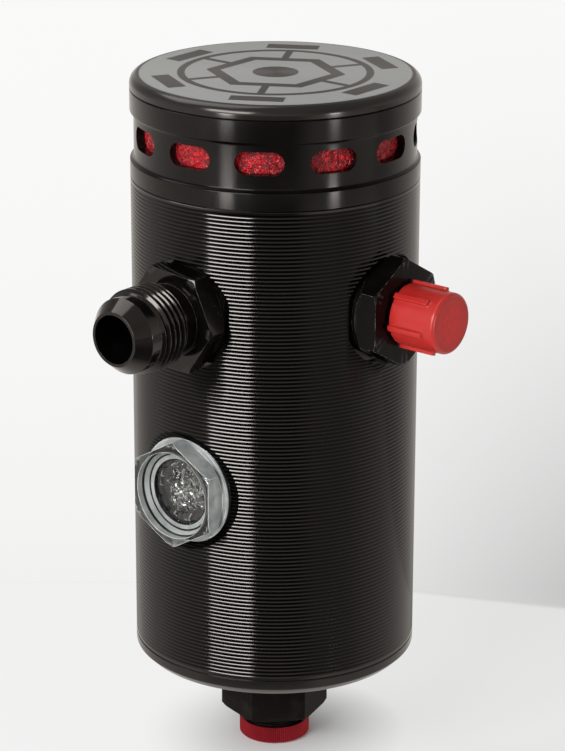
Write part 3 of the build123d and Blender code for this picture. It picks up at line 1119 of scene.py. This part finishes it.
# stainless wool: seeded strands that wander inside the pad's own space; lengths in mm
woolLook = {
    "strands": 620,
    "steps": 22,
    "stride": 2.6,
    "width": 0.16,
    "thickness": 0.45,  # share of the width
    "seed": 7,
    "fill": 0.4,
    "smooth": 60,
    "middle": 0.05,  # least share of the pad's area that lies inside a strand's start
    "topShare": 0.25,  # strands that start near the top
    "topDepth": 4,  # how near
    "firstBend": 0.5,
    "wander": 0.18,
    "turning": 0.55,
    "bounce": -0.6,  # what is left of a strand's heading at the wall
    "clear": 25.8,  # from the axis, where the pad stops behind the sight glass
    "notch": 14.4,
    "bulgeRadius": 7.7,  # the pad swells a little into the glass's hollow shank
    "bulgeEnd": 35.5,
    "bulgeStart": 3,
    "curls": 84,
    "curlWidth": 0.3,
    "curlLow": (-7, 0, -6.5),  # box of the curls' middles, from the bulge's end
    "curlHigh": (6, 5, 6.5),
    "curlSize": (0.8, 2.8),
    "curlSweep": (2.5, 5.5),  # radians
    "sockets": {"Metallic": 1.0},
    "tones": ((0.66, 0.66, 0.64, 1), (0.88, 0.87, 0.84, 1)),
    "tint": (300.0, 3.0),
    "scratches": 1200.0,
    "rough": (0.12, 0.34),
}


def stainlessWool():
    look = woolLook
    material, tree, shader = newFinish("stainlessWool", look["sockets"])
    place = rowPlace(tree)
    feed(tree, shader, {
        "Base Color": colourMix(tree, noiseOf(tree, place, *look["tint"]), *look["tones"]),
        "Roughness": spread(tree, noiseOf(tree, place, look["scratches"]), *look["rough"]),
    })
    return material


def unit(vectors):
    length = np.linalg.norm(vectors, axis=-1)
    return vectors / np.maximum(length, meshLook["nearlyNone"])[..., None]


def woolCurls(dice, glassZ):
    # loops of wool that swell into the hollow behind the window
    look = woolLook
    count, end = look["curls"], np.array((0, -look["bulgeEnd"], 0))
    centre = dice.uniform(end + look["curlLow"], end + look["curlHigh"], (count, 3))
    first = unit(dice.normal(size=(count, 3)))
    second = unit(np.cross(first, dice.normal(size=(count, 3))))
    size = dice.uniform(*look["curlSize"], (count, 1))
    sweep = dice.uniform(*look["curlSweep"], (count, 1))
    curls = []
    for share in np.linspace(0, 1, look["steps"]):
        spot = centre + size * (np.cos(sweep * share) * first + np.sin(sweep * share) * second)
        over = np.maximum(np.hypot(spot[:, 0], spot[:, 2]) / look["bulgeRadius"], 1)
        spot[:, [0, 2]] /= over[:, None]
        spot[:, 1] = np.clip(spot[:, 1], -look["bulgeEnd"], -look["clear"] + look["bulgeStart"])
        curls.append(spot + np.array((0, 0, glassZ)))
    return np.array(curls)


def woolStrands(dice, glassZ):
    look = woolLook
    reach, bottom, top = spanOf("wool_pad")
    reach -= look["width"]
    bottom += look["width"]
    top -= look["width"]
    count = look["strands"]
    angle = dice.uniform(0, fullTurn, count)
    radius = reach * np.sqrt(dice.uniform(look["middle"], 1, count))
    height = dice.uniform(bottom, top, count)
    spot = np.stack([radius * np.cos(angle), radius * np.sin(angle), height], axis=1)

    def keepClear(spots):
        atGlass = np.hypot(spots[:, 0], spots[:, 2] - glassZ) < look["notch"]
        spots[atGlass, 1] = np.maximum(spots[atGlass, 1], -look["clear"])

    nearTop = dice.uniform(0, 1, count) < look["topShare"]
    spot[nearTop, 2] = top - dice.uniform(0, look["topDepth"], nearTop.sum())
    keepClear(spot)
    heading = dice.normal(size=(count, 3))
    bend = dice.normal(size=(count, 3)) * look["firstBend"]
    paths = []
    for _ in range(look["steps"]):
        paths.append(spot.copy())
        bend += dice.normal(size=(count, 3)) * look["wander"]
        heading = unit(heading + np.cross(heading, bend) * look["turning"])
        spot = spot + heading * look["stride"]
        over = np.maximum(np.linalg.norm(spot[:, :2], axis=1) / reach, 1)
        spot[:, :2] /= over[:, None]
        spot[:, 2] = np.clip(spot[:, 2], bottom, top)
        heading[over > 1, :2] *= look["bounce"]
        keepClear(spot)
    return np.array(paths)


def woolPad():
    look = woolLook
    glassZ = centreOf("sight_glass").z / mm
    dice = np.random.default_rng(look["seed"])
    paths = np.concatenate([woolStrands(dice, glassZ), woolCurls(dice, glassZ)], axis=1)
    steps, strands = paths.shape[:2]
    tangent = unit(np.gradient(paths, axis=0))
    side = unit(np.cross(tangent, dice.normal(size=(1, strands, 3))))
    upward = np.cross(tangent, side)
    widths = [look["width"]] * look["strands"] + [look["curlWidth"]] * look["curls"]
    thick = look["thickness"]
    section = ((1, 0), (0, thick), (-1, 0), (0, -thick))  # flat ribbon, across and upward
    count = len(section)
    points, faces = [], []
    for s in range(strands):
        first = len(points)
        for k in range(steps):
            for across, lift in section:
                offset = side[k, s] * across + upward[k, s] * lift
                points.append((paths[k, s] + offset * widths[s]) * mm)
        for a in range(first, first + count * (steps - 1), count):
            for i in range(count):
                j = (i + 1) % count
                faces.append((a + i, a + j, a + count + j, a + count + i))
        faces.append(tuple(range(first, first + count)))
        faces.append(tuple(range(len(points) - count, len(points))))
    piece = newPiece("stainlessWoolPad", points, faces)
    dressed(piece, "wool_pad", stainlessWool(), look["smooth"])
    return piece


woolPad()


# seals, gasket and baffle plate keep their solids
sealLook = {
    "nodes": (
        "base_o_ring",
        "large_port_o_ring",
        "small_port_o_ring",
        "sight_glass_o_ring",
        "drain_o_ring",
        "breather_o_ring",
        "lid_o_ring",
        "drain_cap_gasket",
    ),
    "tones": ((0.007, 0.007, 0.007, 1), (0.02, 0.02, 0.019, 1)),
    "bloom": (420.0, 4.0, 0.6),
    "rough": (0.38, 0.6),
    "grain": 2400.0,
    "grainBump": (0.1, 0.02),
}
plateLook = {
    "sockets": {"Metallic": 1.0},
    "tones": ((0.42, 0.42, 0.41, 1), (0.62, 0.61, 0.6, 1)),
    "brushing": (40.0, 2600.0, 40.0),  # noise scale along each axis
    "rough": (0.24, 0.42),
    "bump": (0.15, 0.01),
}


def sealRubber():
    look = sealLook
    material, tree, shader = newFinish("sealRubber", {})
    place = rowPlace(tree)
    bloom = noiseOf(tree, place, *look["bloom"])
    feed(tree, shader, {
        "Base Color": colourMix(tree, bloom, *look["tones"]),
        "Roughness": spread(tree, bloom, *look["rough"]),
        "Normal": bumpOf(tree, noiseOf(tree, place, look["grain"]), *look["grainBump"]),
    })
    return material


def punchedSteel():
    look = plateLook
    material, tree, shader = newFinish("punchedStainless", look["sockets"])
    brushed = noiseOf(tree, vectorCalc(tree, "MULTIPLY", rowPlace(tree), look["brushing"]), 1.0)
    feed(tree, shader, {
        "Base Color": colourMix(tree, brushed, *look["tones"]),
        "Roughness": spread(tree, brushed, *look["rough"]),
        "Normal": bumpOf(tree, brushed, *look["bump"]),
    })
    return material


def finishSolid(node, material):
    solid = frame["nodes"][node]
    solid.data.materials.clear()
    solid.data.materials.append(material)


rubber = sealRubber()
for node in sealLook["nodes"]:
    finishSolid(node, rubber)
finishSolid("baffle_plate", punchedSteel())
print("seals and plate finished")


# floor, white surroundings and lamps; right and left are as the camera sees them
stageLook = {
    "floorRadius": 9.0,
    "floorCorners": 96,
    "floorSink": 0.0002,  # m under the foot
    "floorGrey": 0.7,
    "floorRough": 0.7,
    "cloudGrey": 0.97,  # share of the grey in the faint clouds
    "cloud": 6.0,
    "grain": (900.0, 2.0),
    "grainBump": (0.03, 0.02),
    "white": 0.95,
    "whiteTint": (1, 1, 0.995, 1),
    "floorGlow": 0.9,
    "fill": 0.32,  # even light from all round
    "overhead": (0.5, 0.5),  # share of the white that gloss sees overhead, and the sine of where that starts
    "darkSide": (0.5, 0.2, 0.5),  # share that gloss sees in front to the right, and where it sets in
    "frontFloor": 0.1,  # what gloss sees of the floor in front, where the table ends
    "frontTurn": -12,  # degrees from the camera to the middle of that dark end
    "frontSpread": (42, 26),  # degrees each side of it, where the dark starts and is whole
    "frontNear": (0.07, 0.12),  # m from the can where it sets in
    "evenShare": (0.85, 0.6),  # share of the floor that stays even, at the left and at the right
    "nearFoot": (0.05, 0.008, 0.037),  # share of that close to the foot, and the m over which it grows
    "evenGloss": 0.9,
    "glossTint": (1.0, 0.94, 0.88, 1),  # warm room that gloss sees
    "sweep": (0.101, 0.106),  # m behind the can, where the floor turns into the white sweep
    "sweepBend": (0.02, 0.27),  # m to the right where that line comes nearer, and how fast
    "sweepShade": (0.07, 0.444),  # shade at the foot of the sweep, at the left and at the right
    "shadeReach": 0.22,  # m over which it clears
    "shadeEnd": (0.18, 0.42),  # m to the right over which it ends
    "rightward": (0.0, 0.11),  # m over which left turns to right
    "distance": (0.8, 2.2),  # m round the can, where the floor goes white all round
    "lampAim": 0.1,  # m above the foot
}
lamps = {
    # degrees from the camera (left is minus), elevation, distance, width and height in m, watts
    "windowLeft": (-37.3, 29, 1.0, 0.57, 0.3, 9.2),
    "gapLeft": (-37.5, 0, 1.0, 0.17, 0.18, 2.6),
    "gapRight": (45.5, 0, 1.0, 0.12, 0.18, 2.0),
    "skyAbove": (-120, 62, 1.3, 0.9, 0.9, 8.0),
}
toCamera, toRight, toBack = [outward(view["azimuth"] + turn) for turn in (0, 90, 180)]


def smoothRise(tree, value, near, far):
    inputs = {"Value": value, "From Min": near, "From Max": far}
    return addNode(tree, "ShaderNodeMapRange", inputs, interpolation_type="SMOOTHSTEP").outputs[0]


def floorGlow(tree, place, away, glossy):
    # the floor's own light, and how much of the floor it takes up
    look = stageLook
    behind, aside = [vectorCalc(tree, "DOT_PRODUCT", place, way) for way in (toBack, toRight)]
    right = spread(tree, aside, 0.0, 1.0, *look["rightward"])
    start, slope = look["sweepBend"]
    bend = product(tree, calc(tree, "MAXIMUM", calc(tree, "SUBTRACT", aside, start), 0.0), slope)
    swept = smoothRise(tree, calc(tree, "ADD", behind, bend), *look["sweep"])
    fade = calc(tree, "MAXIMUM", smoothRise(tree, away, *look["distance"]), swept)
    share, near, far = look["nearFoot"]
    even = product(tree, spread(tree, right, *look["evenShare"]), spread(tree, away, share, 1.0, near, far))
    even = calc(tree, "MAXIMUM", even, product(tree, glossy, look["evenGloss"]))
    past = calc(tree, "DIVIDE", calc(tree, "SUBTRACT", look["sweep"][0], behind), look["shadeReach"])
    clearing = calc(tree, "MINIMUM", calc(tree, "EXPONENT", past), 1.0)
    lasting = calc(tree, "MAXIMUM", spread(tree, aside, 1.0, 0.0, *look["shadeEnd"]), glossy)
    shade = product(tree, spread(tree, right, *look["sweepShade"]), clearing, lasting)
    bright = spread(tree, fade, look["floorGlow"], calc(tree, "SUBTRACT", look["white"], shade))
    light = colourMix(tree, glossy, look["whiteTint"], look["glossTint"])
    glow = addNode(tree, "ShaderNodeEmission", {"Color": light, "Strength": bright})
    return glow.outputs[0], calc(tree, "MAXIMUM", fade, even)


def paleFloorFinish():
    look = stageLook
    material, tree, shader = newFinish("paleFloor", {"Roughness": look["floorRough"]})
    place = rowPlace(tree)
    away = vectorCalc(tree, "LENGTH", place)
    pale, cloud = [(look["floorGrey"] * share,) * 3 + (1,) for share in (1.0, look["cloudGrey"])]
    feed(tree, shader, {
        "Base Color": colourMix(tree, noiseOf(tree, place, look["cloud"]), pale, cloud),
        "Normal": bumpOf(tree, noiseOf(tree, place, *look["grain"]), *look["grainBump"]),
    })
    path = addNode(tree, "ShaderNodeLightPath").outputs
    glossy = path["Is Glossy Ray"]
    seen = calc(tree, "MAXIMUM", path["Is Camera Ray"], glossy)
    seen = calc(tree, "MAXIMUM", seen, path["Is Transmission Ray"])
    glow, amount = floorGlow(tree, place, away, glossy)
    lit = {0: product(tree, seen, amount), 1: shader.outputs[0], 2: glow}
    blend = addNode(tree, "ShaderNodeMixShader", lit).outputs[0]
    # gloss sees the dark end of the table in front
    toFront = vectorCalc(tree, "DOT_PRODUCT", place, outward(view["azimuth"] + look["frontTurn"]))
    limits = [math.cos(math.radians(limit)) for limit in look["frontSpread"]]
    ended = spread(tree, calc(tree, "DIVIDE", toFront, away), 0.0, 1.0, *limits)
    ended = product(tree, ended, spread(tree, away, 0.0, 1.0, *look["frontNear"]), glossy)
    dim = addNode(tree, "ShaderNodeEmission", {"Strength": look["frontFloor"]}).outputs[0]
    blend = addNode(tree, "ShaderNodeMixShader", {0: ended, 1: blend, 2: dim}).outputs[0]
    tree.links.new(blend, tree.nodes["Material Output"].inputs["Surface"])
    return material


def paleFloor():
    look = stageLook
    count, radius, level = look["floorCorners"], look["floorRadius"], -look["floorSink"]
    points = [(0, 0, level)]
    for angle in [fullTurn * k / count for k in range(count)]:
        points.append((radius * math.cos(angle), radius * math.sin(angle), level))
    faces = [(0, 1 + k, 1 + (k + 1) % count) for k in range(count)]
    floor = newPiece("paleFloor", points, faces)
    floor.data.materials.append(paleFloorFinish())


def whiteWorld():
    # the camera and clear parts see white all round; gloss sees it dimmer overhead
    look = stageLook
    world = bpy.data.worlds.new("whiteSurround")
    bpy.context.scene.world = world
    world.use_nodes = True
    tree = world.node_tree
    back = tree.nodes["Background"]
    way = addNode(tree, "ShaderNodeTexCoord").outputs["Generated"]
    ahead, aside = [vectorCalc(tree, "DOT_PRODUCT", way, axis) for axis in (toCamera, toRight)]
    share, full = look["overhead"]
    gloss = spread(tree, partsOf(tree, way)[2], look["white"], look["white"] * share, 0.0, full)
    share, near, far = look["darkSide"]
    gloss = product(tree, gloss, spread(tree, product(tree, ahead, aside), 1.0, share, near, far))
    path = addNode(tree, "ShaderNodeLightPath").outputs
    glossy = path["Is Glossy Ray"]
    seen = calc(tree, "MAXIMUM", path["Is Camera Ray"], path["Is Transmission Ray"])
    warm = product(tree, glossy, calc(tree, "SUBTRACT", 1.0, seen))
    feed(tree, back, {
        "Strength": numberMix(tree, seen, numberMix(tree, glossy, look["fill"], gloss), look["white"]),
        "Color": colourMix(tree, warm, look["whiteTint"], look["glossTint"]),
    })


def placeLamps():
    centre = Vector((0, 0, stageLook["lampAim"]))
    for name, (azimuth, elevation, distance, width, height, watts) in lamps.items():
        data = bpy.data.lights.new(name, "AREA")
        data.shape = "RECTANGLE"
        data.size, data.size_y = width, height
        data.energy = watts
        lamp = linked(name, data)
        out = Vector(outward(view["azimuth"] + azimuth, elevation))
        lamp.location = centre + out * distance
        lamp.rotation_mode = "QUATERNION"
        lamp.rotation_quaternion = out.to_track_quat("Z", "Y")


paleFloor()
whiteWorld()
placeLamps()
bpy.context.scene.view_settings.view_transform = "Standard"
print("stage and lamps placed")
